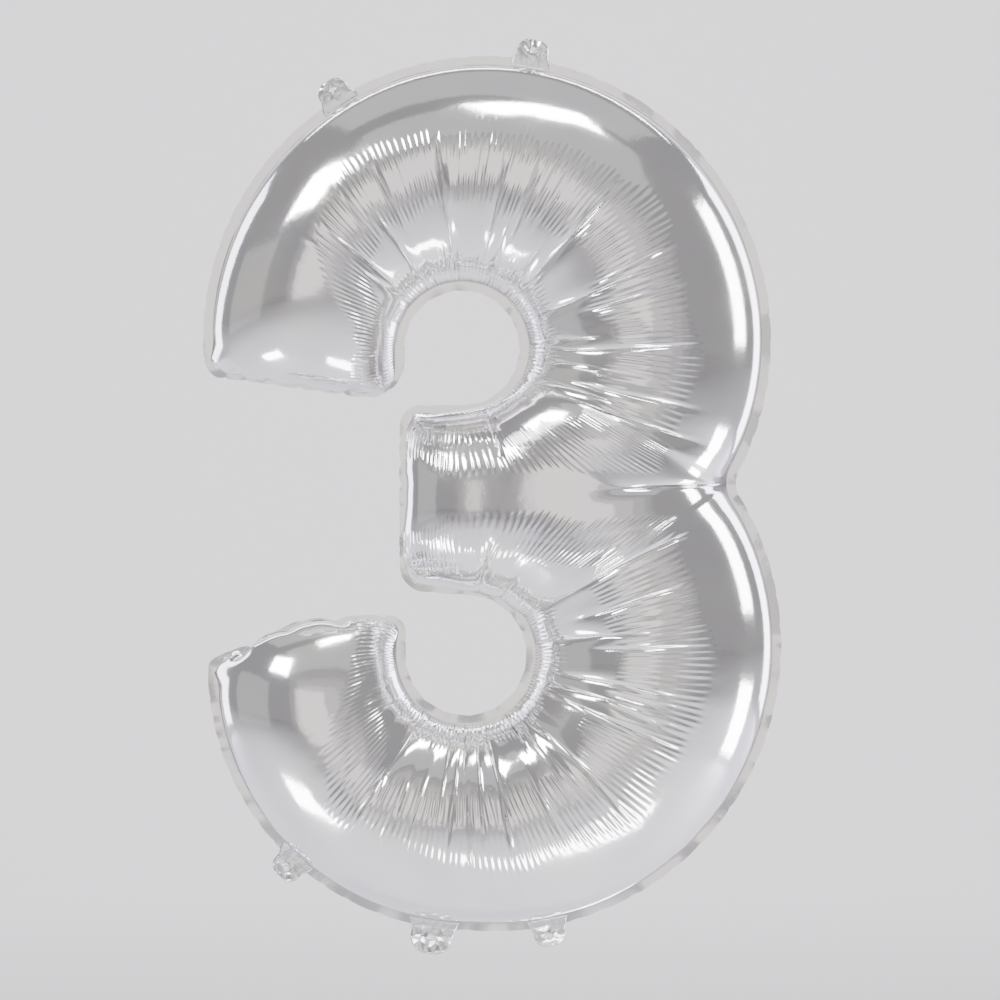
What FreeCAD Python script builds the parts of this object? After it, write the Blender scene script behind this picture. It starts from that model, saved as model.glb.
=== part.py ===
"""Foil number balloon in the shape of a three, inflated. Millimetres, +Z up, the front faces -Y.

The origin is the centre of the punched hole in the top hanging tab. Two foil panels are welded
together round a flat margin. Hanging tabs and the inflation tail stand out from that margin, each
across a strip of film that bends, and a two-film valve lies inside, behind the tail.
"""
import FreeCAD, Part

import math
import os

V = FreeCAD.Vector

# ---- driving dimensions ----
BOWL_R = 269.8                    # upper bowl, from its centre to the margin's free edge
LOWER_BOWL_R = 272.0
SWELL_R = 249.0                   # the lower bowl's fuller lower left
HOLE_R = 54.2                     # the holes, to the margin's free edge
LOWER_HOLE_R = 57.0
BOWL_TO_HOLE = V(-23.8, 0, -7.6)
BOWL_TO_LOWER_BOWL = V(7.6, 0, -289.7)
LOWER_BOWL_TO_HOLE = V(-27.6, 0, -9.5)
LOWER_BOWL_TO_SWELL = V(-23.8, 0, -21.9)
MIDDLE_ARM_REACH = 83.6           # the middle arm's left end, left of the upper bowl's centre

MARGIN = 9.0                      # width of the welded margin
PLY = 0.4                         # one ply of the margin; the real film is about 0.05
WALL = 1.0                        # wall of the inflated part of a panel
FULLNESS = 0.80                   # half the depth over half the width, seam to seam
MAX_HALF_DEPTH = 92.0
END_LENGTH = 78.0                 # how far from an arm's end its full depth is reached

TAB_WIDTH = 30.0
TAB_REACH = 19.0                  # from the margin's free edge to the tab's tip
TAB_TIP_R = 11.5
HANG_HOLE_R = 2.5
HANG_HOLE_OUT = 9.5               # hole centre from the margin's free edge
TAIL_WIDTH = 40.0
TAIL_REACH = 25.0
TAIL_TIP_R = 16.0
FLEX_GAP = 1.6                    # clear strip in which the film bends

VALVE_WIDTH = 28.0
VALVE_LENGTH = 110.0
VALVE_FILM = 0.2

# where each tab stands, in degrees from +X round its bowl
TOP_TAB_AT = 81.0
UPPER_LEFT_TAB_AT = 121.8
LOWER_LEFT_TAB_AT = 227.5         # round the swell
TAIL_AT = 261.9                   # round the swell
BOTTOM_RIGHT_TAB_AT = 280.7


def polar(centre, radius, degrees):
    """The point at an angle round a centre, in the XZ plane."""
    a = math.radians(degrees)
    return centre + V(radius * math.cos(a), 0, radius * math.sin(a))


UPPER = polar(V(0, 0, 0), -(BOWL_R + HANG_HOLE_OUT), TOP_TAB_AT)
LOWER = UPPER + BOWL_TO_LOWER_BOWL
SWELL = LOWER + LOWER_BOWL_TO_SWELL
UPPER_HOLE = UPPER + BOWL_TO_HOLE
LOWER_HOLE = LOWER + LOWER_BOWL_TO_HOLE

# corners of the arms at the margin's free edge, before they are rounded
UPPER_INNER = V(UPPER_HOLE.x - HOLE_R, 0, UPPER_HOLE.z - 53.0)
UPPER_OUTER = UPPER_INNER + V(-189.0, 0, 26.0)
LOWER_INNER = V(LOWER_HOLE.x - LOWER_HOLE_R, 0, LOWER_HOLE.z + 41.0)
LOWER_SHOULDER = LOWER_INNER + V(-100.0, 0, -7.0)
LOWER_OUTER = LOWER_SHOULDER + V(-92.0, 0, -41.0)
MIDDLE_X = UPPER.x - MIDDLE_ARM_REACH
MIDDLE_TOP = V(MIDDLE_X, 0, UPPER_HOLE.z - HOLE_R - 1.0)
MIDDLE_BOTTOM = V(MIDDLE_X, 0, LOWER_HOLE.z + LOWER_HOLE_R + 4.5)


def disc(centre, radius, y=0.0, thickness=PLY):
    """A round plate whose front is at y minus its thickness."""
    return Part.makeCylinder(radius, thickness, V(centre.x, y, centre.z), V(0, -1, 0))


def prism(points, thickness=PLY):
    """A closed polygon in the XZ plane, from y 0 to minus its thickness."""
    return Part.Face(Part.makePolygon(points + points[:1])).extrude(V(0, -thickness, 0))


def bay():
    """What the two bowls leave out: both holes, and the way from each of them to the left."""
    beyond = 2.0
    points = [
        UPPER_OUTER + (UPPER_OUTER - UPPER_INNER) * beyond,
        UPPER_INNER,
        V(UPPER_INNER.x, 0, UPPER_HOLE.z),
        UPPER_HOLE,
        V(UPPER_HOLE.x, 0, MIDDLE_TOP.z),
        MIDDLE_TOP,
        MIDDLE_BOTTOM,
        V(LOWER_HOLE.x, 0, MIDDLE_BOTTOM.z),
        LOWER_HOLE,
        V(LOWER_INNER.x, 0, LOWER_HOLE.z),
        LOWER_INNER,
        LOWER_SHOULDER,
        LOWER_OUTER + (LOWER_OUTER - LOWER_SHOULDER) * beyond,
    ]
    return prism(points).fuse([disc(UPPER_HOLE, HOLE_R), disc(LOWER_HOLE, LOWER_HOLE_R)])


def rounded(plate, corners):
    """Fillets the edge through the plate's thickness nearest to each (point, radius)."""
    for point, radius in corners:
        through = [e for e in plate.Edges if e.BoundBox.YLength > 0.9 * PLY
                   and e.BoundBox.DiagonalLength < 1.1 * PLY]
        edge = min(through, key=lambda e: math.hypot(e.CenterOfMass.x - point.x,
                                                     e.CenterOfMass.z - point.z))
        plate = plate.makeFillet(radius, [edge])
    return plate


def outline():
    """The flat plate inside the margin's free edge, from y 0 to minus one ply."""
    plate = disc(UPPER, BOWL_R).fuse([disc(LOWER, LOWER_BOWL_R), disc(SWELL, SWELL_R)])
    plate = plate.cut(bay()).removeSplitter()
    return rounded(plate, [
        (polar(UPPER, BOWL_R, -32), 24.0),
        (UPPER_INNER, 36.0),
        (UPPER_OUTER, 20.0),
        (MIDDLE_TOP, 22.0),
        (MIDDLE_BOTTOM, 26.0),
        (LOWER_INNER, 18.0),
        (LOWER_SHOULDER, 60.0),
        (LOWER_OUTER, 10.0),
    ])


def seam_face(plate):
    """The face inside the seam line, where the margin ends and the gas space begins."""
    flat = [f for f in plate.Faces if abs(f.CenterOfMass.y) < 1e-6]
    return max(flat, key=lambda f: f.Area).makeOffset2D(-MARGIN)


def ray_end(face, start, towards):
    """Where the straight way from a point just inside a face first leaves the face."""
    direction = (towards - start).normalize()
    way = Part.makeLine(start, start + direction * 4.0 * BOWL_R).common(face)
    nearest = min(way.Edges, key=lambda e: min((v.Point - start).Length for v in e.Vertexes))
    return max((v.Point for v in nearest.Vertexes), key=lambda p: (p - start).Length)


def depth_at(chord, to_end):
    """Half the balloon's depth where a section is this wide and this far from an arm's end."""
    depth = min(0.5 * FULLNESS * chord, MAX_HALF_DEPTH)
    rounding = 1.0 - min(to_end / END_LENGTH, 1.0)
    return depth * math.sqrt(1.0 - rounding ** 2)


def section(inner, outer, depth, inset):
    """Half an ellipse from seam to seam, bulging towards -Y, closed behind the middle plane."""
    across = (outer - inner).normalize()
    start = inner + across * inset
    end = outer - across * inset
    swell = max(depth - 2.0 * inset, 0.5)
    steps = 10
    points = []
    for i in range(steps + 1):
        turn = math.pi * i / steps
        along = start + (end - start) * (0.5 - 0.5 * math.cos(turn))
        points.append(along + V(0, -swell * math.sin(turn), 0))
    curve = Part.BSplineCurve()
    curve.interpolate(points)
    foot = V(0, inset, 0)
    corners = [end, end + foot, start + foot, start] if inset else [end, start]
    sides = [Part.makeLine(a, b) for a, b in zip(corners, corners[1:])]
    return Part.Wire([curve.toShape()] + sides)


def pillow(pairs, inset):
    """A ruled solid through sections given as (inner, outer, distance to the arm's end)."""
    wires = []
    for inner, outer, to_end in pairs:
        kept = max(to_end - 3.0 * inset, 0.1)
        wires.append(section(inner, outer, depth_at((outer - inner).Length, kept), inset))
    return Part.makeLoft(wires, True, True)


def hook(face, hole, rim, arm_end, sweep, waist, below, inset, fade):
    """Sections from an outer arm's end, round the hole, to where the middle arm begins.

    arm_end holds the inner and outer seam points at the arm's end, and sweep the first and last
    angle whose rays reach the bowl's own seam. Past the waist the outer side follows a quarter
    ellipse to below, the far seam of the middle arm, with the distances in fade to the end.
    """
    first, last = sweep
    rays = 20

    def across(angle):
        inner = polar(hole, rim, angle)
        return inner, ray_end(face, polar(hole, rim + 0.5, angle), polar(hole, 9 * rim, angle))

    start = across(first)
    run = (start[0] - arm_end[0]).Length
    pairs = []
    for t in (inset / run, 0.12, 0.32, 0.62):
        inner = arm_end[0] + (start[0] - arm_end[0]) * t
        outer = arm_end[1] + (start[1] - arm_end[1]) * t
        pairs.append((inner, outer, 0.5 + run * t))
    for i in range(rays + 1):
        angle = first + (last - first) * i / rays
        travelled = math.radians(abs(angle - first)) * 1.6 * rim
        pairs.append((*across(angle), 0.5 + run + travelled))
    for i, far in enumerate(fade):
        turn = math.radians(90.0 * (i + 1) / 5)
        outer = V(below.x + (waist.x - below.x) * math.cos(turn), 0,
                  waist.z + (below.z - waist.z) * math.sin(turn))
        pairs.append((hole + (outer - hole).normalize() * rim, outer, far))
    return pairs


def middle_arm(upper_seam, lower_seam, inset):
    """Sections of the middle arm, from beside the upper hole to its left end."""
    left = MIDDLE_X + MARGIN
    run = upper_seam.x - left
    pairs = []
    for t in (0.4, 0.7, 0.88, 0.97, 1.0 - inset / run):
        x = upper_seam.x - run * t
        pinch = 5.0 * t ** 4
        pairs.append((V(x, 0, upper_seam.z - pinch), V(x, 0, lower_seam.z + pinch), x - left + 0.5))
    return pairs


def gas_space(face, inset):
    """The front half of the inflated body, drawn in by inset."""
    rim = HOLE_R + MARGIN
    lower_rim = LOWER_HOLE_R + MARGIN
    arm_top = V(UPPER_HOLE.x, 0, UPPER_HOLE.z - rim)
    arm_bottom = V(UPPER_HOLE.x, 0, MIDDLE_BOTTOM.z + MARGIN)
    waist_up = ray_end(face, polar(UPPER_HOLE, rim + 0.5, -24), polar(UPPER_HOLE, 9 * rim, -24))
    waist_down = ray_end(face, polar(LOWER_HOLE, lower_rim + 0.5, 24),
                         polar(LOWER_HOLE, 9 * lower_rim, 24))
    upper_end = (UPPER_INNER + V(-MARGIN - 3.0, 0, MARGIN + 2.0),
                 UPPER_OUTER + V(MARGIN + 7.0, 0, MARGIN + 2.0))
    lower_end = (LOWER_INNER + V(-MARGIN - 3.0, 0, -MARGIN - 3.0),
                 LOWER_OUTER + V(MARGIN + 7.0, 0, -MARGIN))
    upper = hook(face, UPPER_HOLE, rim, upper_end, (183.0, -24.0), waist_up, arm_bottom,
                 inset, [END_LENGTH] * 5)
    upper += middle_arm(arm_top, arm_bottom, inset)
    lower = hook(face, LOWER_HOLE, lower_rim, lower_end, (186.0, 384.0), waist_down,
                 V(LOWER_HOLE.x, 0, arm_top.z), inset,
                 [END_LENGTH, 0.7 * END_LENGTH, 0.35 * END_LENGTH, 0.08 * END_LENGTH])
    return pillow(upper, inset).fuse(pillow(lower, inset))


def turned(shape, centre, degrees):
    """Carries a shape built along +X from the origin to its angle round a centre."""
    shape.rotate(V(0, 0, 0), V(0, -1, 0), degrees)
    shape.translate(centre)
    return shape


def tab(centre, radius, degrees, width, reach, tip_r):
    """A two-ply tab with a round tip and a punched hole, clear of the margin by the flex gap."""
    root = radius - 2.0
    plate = Part.makeBox(reach + 2.0, 2 * PLY, width, V(root, -PLY, -width / 2))
    tips = [e for e in plate.Edges if abs(e.CenterOfMass.x - radius - reach) < 1e-6
            and e.BoundBox.YLength > PLY]
    plate = plate.makeFillet(tip_r, tips)
    plate = plate.cut(disc(V(0, 0, 0), radius + FLEX_GAP, PLY, 2 * PLY))
    plate = plate.cut(disc(V(radius + HANG_HOLE_OUT, 0, 0), HANG_HOLE_R, PLY, 2 * PLY))
    return turned(plate, centre, degrees)


def valve_film(front):
    """One film of the valve: it lies on the middle plane, from the free edge inwards."""
    y = -VALVE_FILM if front else 0.0
    film = Part.makeBox(VALVE_LENGTH, VALVE_FILM, VALVE_WIDTH,
                        V(SWELL_R - VALVE_LENGTH, y, -VALVE_WIDTH / 2))
    edge = Part.makeCylinder(SWELL_R, VALVE_FILM, V(0, y, 0), V(0, 1, 0))
    return turned(film.common(edge), SWELL, TAIL_AT)


def panels():
    """The front and back foil panels, each with its own ply of the margin."""
    plate = outline()
    seam = seam_face(plate)
    front = plate.fuse(gas_space(seam, 0.0)).cut(gas_space(seam, WALL)).cut(valve_film(True))
    back = front.mirror(V(0, 0, 0), V(0, 1, 0))
    return front, back


def build():
    front, back = panels()
    hanging = (TAB_WIDTH, TAB_REACH, TAB_TIP_R)
    return {
        "front_foil_panel": front,
        "back_foil_panel": back,
        "valve_front_film": valve_film(True),
        "valve_back_film": valve_film(False),
        "hanging_tab_top": tab(UPPER, BOWL_R, TOP_TAB_AT, *hanging),
        "hanging_tab_upper_left": tab(UPPER, BOWL_R, UPPER_LEFT_TAB_AT, *hanging),
        "hanging_tab_lower_left": tab(SWELL, SWELL_R, LOWER_LEFT_TAB_AT, *hanging),
        "hanging_tab_bottom_right": tab(LOWER, LOWER_BOWL_R, BOTTOM_RIGHT_TAB_AT, *hanging),
        "inflation_tail": tab(SWELL, SWELL_R, TAIL_AT, TAIL_WIDTH, TAIL_REACH, TAIL_TIP_R),
    }


os.makedirs("parts", exist_ok=True)
for node, shape in build().items():
    shape.exportStep(f"parts/{node}.step")
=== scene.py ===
import math
import bpy
import numpy as np
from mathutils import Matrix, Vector


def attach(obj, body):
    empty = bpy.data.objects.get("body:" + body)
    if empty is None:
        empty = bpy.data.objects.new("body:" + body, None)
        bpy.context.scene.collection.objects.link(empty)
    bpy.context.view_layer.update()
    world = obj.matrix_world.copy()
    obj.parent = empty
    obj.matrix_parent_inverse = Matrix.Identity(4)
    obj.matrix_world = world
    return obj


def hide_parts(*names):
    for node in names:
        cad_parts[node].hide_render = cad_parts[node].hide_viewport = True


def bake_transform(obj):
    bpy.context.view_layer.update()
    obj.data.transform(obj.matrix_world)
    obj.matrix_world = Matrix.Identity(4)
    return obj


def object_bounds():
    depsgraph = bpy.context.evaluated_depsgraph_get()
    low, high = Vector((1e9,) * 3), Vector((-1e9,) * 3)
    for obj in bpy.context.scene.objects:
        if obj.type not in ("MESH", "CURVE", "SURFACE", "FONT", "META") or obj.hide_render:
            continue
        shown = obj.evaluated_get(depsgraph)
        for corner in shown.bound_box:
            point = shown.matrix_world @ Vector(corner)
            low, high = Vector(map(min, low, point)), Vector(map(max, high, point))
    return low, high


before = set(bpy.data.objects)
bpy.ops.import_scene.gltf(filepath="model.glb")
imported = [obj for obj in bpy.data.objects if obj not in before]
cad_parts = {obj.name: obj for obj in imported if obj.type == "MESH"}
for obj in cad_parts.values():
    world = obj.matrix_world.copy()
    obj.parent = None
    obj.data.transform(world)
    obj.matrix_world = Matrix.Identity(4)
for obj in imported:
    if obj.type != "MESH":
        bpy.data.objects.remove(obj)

cad_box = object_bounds()
bpy.ops.object.select_all(action="DESELECT")

# ---------------------------------------------------------------- cut of the foil
# Both walls of the balloon are cut from one flat film to the same outline and welded together
# round it. The weld runs one margin's width inside the cut edge.

MM = 0.001
BOWL_R = 269.8
LOWER_BOWL_R = 272.0
SWELL_R = 249.0
HOLE_R = 54.2
LOWER_HOLE_R = 57.0
HANG_HOLE_OUT = 9.5
MARGIN = 9.0
OUTLINE_STEP = 0.9


def spot(centre, radius, degrees):
    """The point at an angle round a centre, in the plane of the film."""
    turn = math.radians(degrees)
    return np.array([centre[0] + radius * math.cos(turn), centre[1] + radius * math.sin(turn)])


UPPER = spot((0, 0), -(BOWL_R + HANG_HOLE_OUT), 81.0)
LOWER = UPPER + (7.6, -289.7)
SWELL = LOWER + (-23.8, -21.9)
UPPER_HOLE = UPPER + (-23.8, -7.6)
LOWER_HOLE = LOWER + (-27.6, -9.5)
UPPER_ARM_IN = UPPER_HOLE + (-HOLE_R, -53.0)
UPPER_ARM_OUT = UPPER_ARM_IN + (-189.0, 26.0)
LOWER_ARM_IN = LOWER_HOLE + (-LOWER_HOLE_R, 41.0)
LOWER_ARM_BEND = LOWER_ARM_IN + (-100.0, -7.0)
LOWER_ARM_OUT = LOWER_ARM_BEND + (-92.0, -41.0)
MIDDLE_ARM_X = UPPER[0] - 83.6
MIDDLE_TOP = np.array([MIDDLE_ARM_X, UPPER_HOLE[1] - HOLE_R])
MIDDLE_BOTTOM = np.array([MIDDLE_ARM_X, LOWER_HOLE[1] + LOWER_HOLE_R + 4.5])
MIDDLE_SLOPE = 0.075


class Straight:
    """A straight side of the cut."""

    def __init__(self, start, end, inside):
        self.start = np.array(start, float)
        along = np.array(end, float) - self.start
        along /= np.hypot(*along)
        across = np.array([-along[1], along[0]])
        if np.dot(np.array(inside) - self.start, across) < 0:
            across = -across
        self.along = along
        self.across = across

    def depth(self, point):
        return np.dot(point - self.start, self.across)

    def foot(self, point, inset):
        return point - self.across * (self.depth(point) - inset)

    def run(self, start, end, inset, count):
        a = self.foot(start, inset)
        b = self.foot(end, inset)
        return a + (b - a) * np.linspace(0, 1, count)[:, None]


class Round:
    """A round side of the cut, with the film inside the circle or outside it."""

    def __init__(self, centre, radius, film_inside, turn):
        self.centre = np.array(centre, float)
        self.radius = radius
        self.film_inside = film_inside
        self.turn = turn

    def depth(self, point):
        out = np.hypot(*(point - self.centre))
        return self.radius - out if self.film_inside else out - self.radius

    def inset_radius(self, inset):
        return self.radius - inset if self.film_inside else self.radius + inset

    def foot(self, point, inset):
        out = point - self.centre
        return self.centre + out / np.hypot(*out) * self.inset_radius(inset)

    def run(self, start, end, inset, count):
        a = math.atan2(start[1] - self.centre[1], start[0] - self.centre[0])
        b = math.atan2(end[1] - self.centre[1], end[0] - self.centre[0])
        sweep = ((b - a) * self.turn) % (2 * math.pi) * self.turn
        angle = a + sweep * np.linspace(0, 1, count)
        return self.centre + self.inset_radius(inset) * np.stack([np.cos(angle), np.sin(angle)], 1)


def corner_centre(side_a, side_b, radius, near):
    """The centre of the rounding that touches two sides, found by Newton's method."""
    centre = np.array(near, float)
    nudge = 1e-4
    for _ in range(40):
        miss = np.array([side_a.depth(centre) - radius, side_b.depth(centre) - radius])
        slope = np.zeros((2, 2))
        for row, side in enumerate((side_a, side_b)):
            for column in range(2):
                moved = centre.copy()
                moved[column] += nudge
                slope[row, column] = (side.depth(moved) - side.depth(centre)) / nudge
        step = np.linalg.solve(slope, miss)
        centre = centre - step * min(1.0, 20.0 / (np.hypot(*step) + 1e-9))
    return centre


upper_arm_end = Straight(UPPER_ARM_OUT, UPPER_ARM_IN, UPPER_ARM_IN + (-90, 80))
upper_arm_side = Straight(UPPER_ARM_IN, (UPPER_ARM_IN[0], UPPER_HOLE[1]), UPPER_ARM_IN + (-50, 0))
upper_hole = Round(UPPER_HOLE, HOLE_R, False, -1)
middle_top = Straight(MIDDLE_TOP, MIDDLE_TOP + (50, 0), MIDDLE_TOP + (0, -50))
middle_end = Straight(MIDDLE_TOP, MIDDLE_BOTTOM, MIDDLE_TOP + (50, 0))
middle_bottom = Straight(MIDDLE_BOTTOM, MIDDLE_BOTTOM + (50, -50 * MIDDLE_SLOPE), MIDDLE_BOTTOM + (0, 50))
lower_hole = Round(LOWER_HOLE, LOWER_HOLE_R, False, -1)
lower_arm_side = Straight((LOWER_ARM_IN[0], LOWER_HOLE[1]), LOWER_ARM_IN, LOWER_ARM_IN + (-50, 0))
lower_arm_top = Straight(LOWER_ARM_IN, LOWER_ARM_BEND, LOWER_ARM_BEND + (0, -50))
lower_arm_slope = Straight(LOWER_ARM_BEND, LOWER_ARM_OUT, LOWER_ARM_BEND + (0, -50))
swell = Round(SWELL, SWELL_R, True, 1)
lower_bowl = Round(LOWER, LOWER_BOWL_R, True, 1)
upper_bowl = Round(UPPER, BOWL_R, True, 1)

ROUNDINGS = {
    "upper_in": (upper_arm_end, upper_arm_side, 36.0, UPPER_ARM_IN + (-30, 30), 1),
    "upper_out": (upper_bowl, upper_arm_end, 20.0, UPPER_ARM_OUT + (25, 25), 1),
    "middle_top": (middle_top, middle_end, 22.0, MIDDLE_TOP + (20, -20), 1),
    "middle_bottom": (middle_end, middle_bottom, 26.0, MIDDLE_BOTTOM + (20, 20), 1),
    "lower_in": (lower_arm_side, lower_arm_top, 18.0, LOWER_ARM_IN + (-20, -20), 1),
    "lower_bend": (lower_arm_top, lower_arm_slope, 60.0, LOWER_ARM_BEND + (0, -60), 1),
    "lower_out": (lower_arm_slope, swell, 10.0, LOWER_ARM_OUT + (10, -15), 1),
    "waist": (lower_bowl, upper_bowl, -24.0, spot(UPPER, BOWL_R + 30, -33), -1),
}
centres = {name: corner_centre(*given[:4]) for name, given in ROUNDINGS.items()}
upper_hole_left = UPPER_HOLE + (-1.0, 0.0)
upper_hole_bottom = UPPER_HOLE + (0.0, -1.0)
lower_hole_top = LOWER_HOLE + (MIDDLE_SLOPE, 1.0)
lower_hole_left = LOWER_HOLE + (-1.0, 0.0)


def lower_crossing(first, second):
    """The lower of the two points where two round sides cross."""
    between = second.centre - first.centre
    apart = np.hypot(*between)
    along = (first.radius ** 2 - second.radius ** 2 + apart ** 2) / (2 * apart)
    off = math.sqrt(first.radius ** 2 - along ** 2)
    square = np.array([-between[1], between[0]])
    crossings = [first.centre + between / apart * along + off * s * square / apart for s in (-1, 1)]
    return min(crossings, key=lambda point: point[1])


swell_meets_bowl = lower_crossing(swell, lower_bowl)


def cut_line(inset):
    """The outline at an inset from the cut edge, as named runs that match point for point."""
    runs = []

    def side(name, edge, start, end):
        full = edge.run(start, end, MARGIN, 50)
        length = np.hypot(*np.diff(full, axis=0).T).sum()
        runs.append((name, edge.run(start, end, inset, max(3, int(round(length / OUTLINE_STEP)) + 1))))

    def rounding(name):
        side_a, side_b, radius, _, turn = ROUNDINGS[name]
        centre = centres[name]
        arc = Round(centre, abs(radius), radius > 0, turn)
        side(name, arc, side_a.foot(centre, 0.0), side_b.foot(centre, 0.0))

    rounding("upper_out")
    side("upper_arm_end", upper_arm_end, centres["upper_out"], centres["upper_in"])
    rounding("upper_in")
    side("upper_arm_side", upper_arm_side, centres["upper_in"], upper_hole_left)
    side("upper_hole", upper_hole, upper_hole_left, upper_hole_bottom)
    side("middle_side_top", middle_top, upper_hole_bottom, centres["middle_top"])
    rounding("middle_top")
    side("middle_end", middle_end, centres["middle_top"], centres["middle_bottom"])
    rounding("middle_bottom")
    side("middle_side_bottom", middle_bottom, centres["middle_bottom"], lower_hole_top)
    side("lower_hole", lower_hole, lower_hole_top, lower_hole_left)
    side("lower_arm_side", lower_arm_side, lower_hole_left, centres["lower_in"])
    rounding("lower_in")
    side("lower_arm_top", lower_arm_top, centres["lower_in"], centres["lower_bend"])
    rounding("lower_bend")
    side("lower_arm_slope", lower_arm_slope, centres["lower_bend"], centres["lower_out"])
    rounding("lower_out")
    side("swell", swell, centres["lower_out"], swell_meets_bowl)
    side("lower_bowl", lower_bowl, swell_meets_bowl, centres["waist"])
    rounding("waist")
    side("upper_bowl", upper_bowl, centres["waist"], centres["upper_out"])
    return runs


def smooth(value, start, end):
    """0 before start, 1 after end, and an even rise between them."""
    t = np.clip((value - start) / (end - start), 0, 1)
    return t * t * (3 - 2 * t)


def scallops(length, seed, least, most):
    """Where the dips between a puckered edge's lobes lie along it, and how deep each is, from 0 to 1."""
    chance = np.random.default_rng(seed)
    dips = [0.0]
    while dips[-1] < length:
        dips.append(dips[-1] + chance.uniform(least, most))
    deep = chance.uniform(0.55, 1.0, len(dips))
    return np.array(dips), deep


def drawn_in(along, dips, deep):
    """How far in from its full size the edge lies at a place along it: round lobes with sharp dips."""
    at = np.clip(np.searchsorted(dips, along, side="right") - 1, 0, len(dips) - 2)
    part = (along - dips[at]) / (dips[at + 1] - dips[at])
    lobe = np.sqrt(np.clip(1 - (2 * part - 1) ** 2, 0, 1))
    return (1 - lobe) * np.where(part < 0.5, deep[at], deep[at + 1])


# Each arm end that puckers: where it starts and ends along the side, its depth, and its lobes.
PUCKER_REACH = 22.0
PUCKERS = [
    (upper_arm_end, 0.0, 190.0, 3.2, scallops(230, 3, 17.0, 30.0)),
    (Straight(LOWER_ARM_OUT, LOWER_ARM_IN, LOWER_ARM_IN + (-90, -90)), 22.0, 205.0, 6.5,
     scallops(230, 9, 34.0, 50.0)),
    (Straight(MIDDLE_BOTTOM, MIDDLE_TOP, MIDDLE_TOP + (50, -20)), 0.0, 160.0, 2.2,
     scallops(200, 5, 18.0, 30.0)),
]


def puckered(flat):
    """The flat outline or film with its three arm ends gathered into lobes by the weld."""
    moved = flat.copy()
    for edge, start, end, size, (dips, deep) in PUCKERS:
        reach = flat - edge.start
        along = reach @ edge.along
        inside = reach @ edge.across
        near = np.exp(-(np.clip(inside, 0, None) / PUCKER_REACH) ** 2) * (inside < 90) * (inside > -14)
        ends = smooth(along, start - 4, start + 12) * (1 - smooth(along, end - 12, end + 4))
        moved += edge.across * (size * near * ends * drawn_in(along, dips, deep))[..., None]
    return moved


# ---------------------------------------------------------------- front and back foil panels
# The two walls are thin metallised film. Gas rounds them out between the welds, and as flat film
# can't stretch, the length that is too much round each hole goes into creases that fan outwards.

ROWS = 960
COLUMNS = 88
ARM_ROWS = 64
WAIST_ROW = 704
FORK_ROW = 880
FULLNESS = 0.745
END_LENGTH = 85.0
MIDDLE_END_LENGTH = 70.0
JOINED = 0.8
INNER_STEP = 0.8
OUTER_STEP = 3.0
EVEN_ROWS = (80.0, 90.0)
CURVED_ROWS = (164.0, 140.0)
END_FADE = 1.5

seam = dict(cut_line(MARGIN))


def half_of(run, last):
    """The first or the last half of a run of points."""
    middle = len(run) // 2
    return run[middle:] if last else run[:middle + 1]


def chain(*runs):
    """Runs joined end to end, without the repeated points."""
    joined = [runs[0]]
    for run in runs[1:]:
        meets = np.hypot(*(run[0] - joined[-1][-1])) < JOINED
        joined.append(run[1:] if meets else run)
    return np.concatenate(joined)


def lengths(line):
    """How far along a flat line each of its points lies."""
    return np.concatenate([[0], np.cumsum(np.hypot(*np.diff(line, axis=0).T))])


def along_line(line, where):
    """The points of a flat line at given distances along it."""
    so_far = lengths(line)
    return np.stack([np.interp(where, so_far, line[:, 0]), np.interp(where, so_far, line[:, 1])], 1)


waist = seam["waist"][len(seam["waist"]) // 2]
arm_tip = np.array([seam["middle_end"][0, 0], (seam["middle_end"][0, 1] + seam["middle_end"][-1, 1]) / 2])
upper_half = {
    "inner": chain(half_of(seam["upper_in"], True), seam["upper_arm_side"], seam["upper_hole"],
                   seam["middle_side_top"], half_of(seam["middle_top"], False)),
    "outer": chain(half_of(seam["upper_out"], False)[::-1], seam["upper_bowl"][::-1],
                   half_of(seam["waist"], True)[::-1]),
    "first": chain(half_of(seam["upper_in"], False)[::-1], seam["upper_arm_end"][::-1],
                   half_of(seam["upper_out"], True)[::-1]),
    "last": chain(half_of(seam["middle_top"], True), half_of(seam["middle_end"], False)),
    "hole": UPPER_HOLE, "rim": HOLE_R + MARGIN, "way": -1, "starts": (180, 176), "turns": (150, 150),
    "below": -90,
}
lower_half = {
    "inner": chain(half_of(seam["lower_in"], False)[::-1], seam["lower_arm_side"][::-1],
                   seam["lower_hole"][::-1], seam["middle_side_bottom"][::-1],
                   half_of(seam["middle_bottom"], True)[::-1]),
    "outer": chain(half_of(seam["lower_out"], True), seam["swell"], seam["lower_bowl"],
                   half_of(seam["waist"], False)),
    "first": chain(half_of(seam["lower_in"], True), seam["lower_arm_top"], seam["lower_bend"],
                   seam["lower_arm_slope"], half_of(seam["lower_out"], False)),
    "last": chain(half_of(seam["middle_bottom"], False)[::-1], half_of(seam["middle_end"], True)[::-1]),
    "hole": LOWER_HOLE, "rim": LOWER_HOLE_R + MARGIN, "way": 1, "starts": (180, 190), "turns": (215, 218),
    "below": 450,
}
row = np.arange(ROWS + 1)


def from_ends(reach):
    """For every row, 1 at the first and the last row, fading to 0 at the reach of each."""
    return np.clip(1 - row / reach[0], 0, 1), np.clip(1 - (ROWS - row) / reach[1], 0, 1)


def near_ends(reach):
    """The same as one soft bump at each end."""
    return np.exp(-(row / reach[0]) ** 2) + np.exp(-((ROWS - row) / reach[1]) ** 2)


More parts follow.
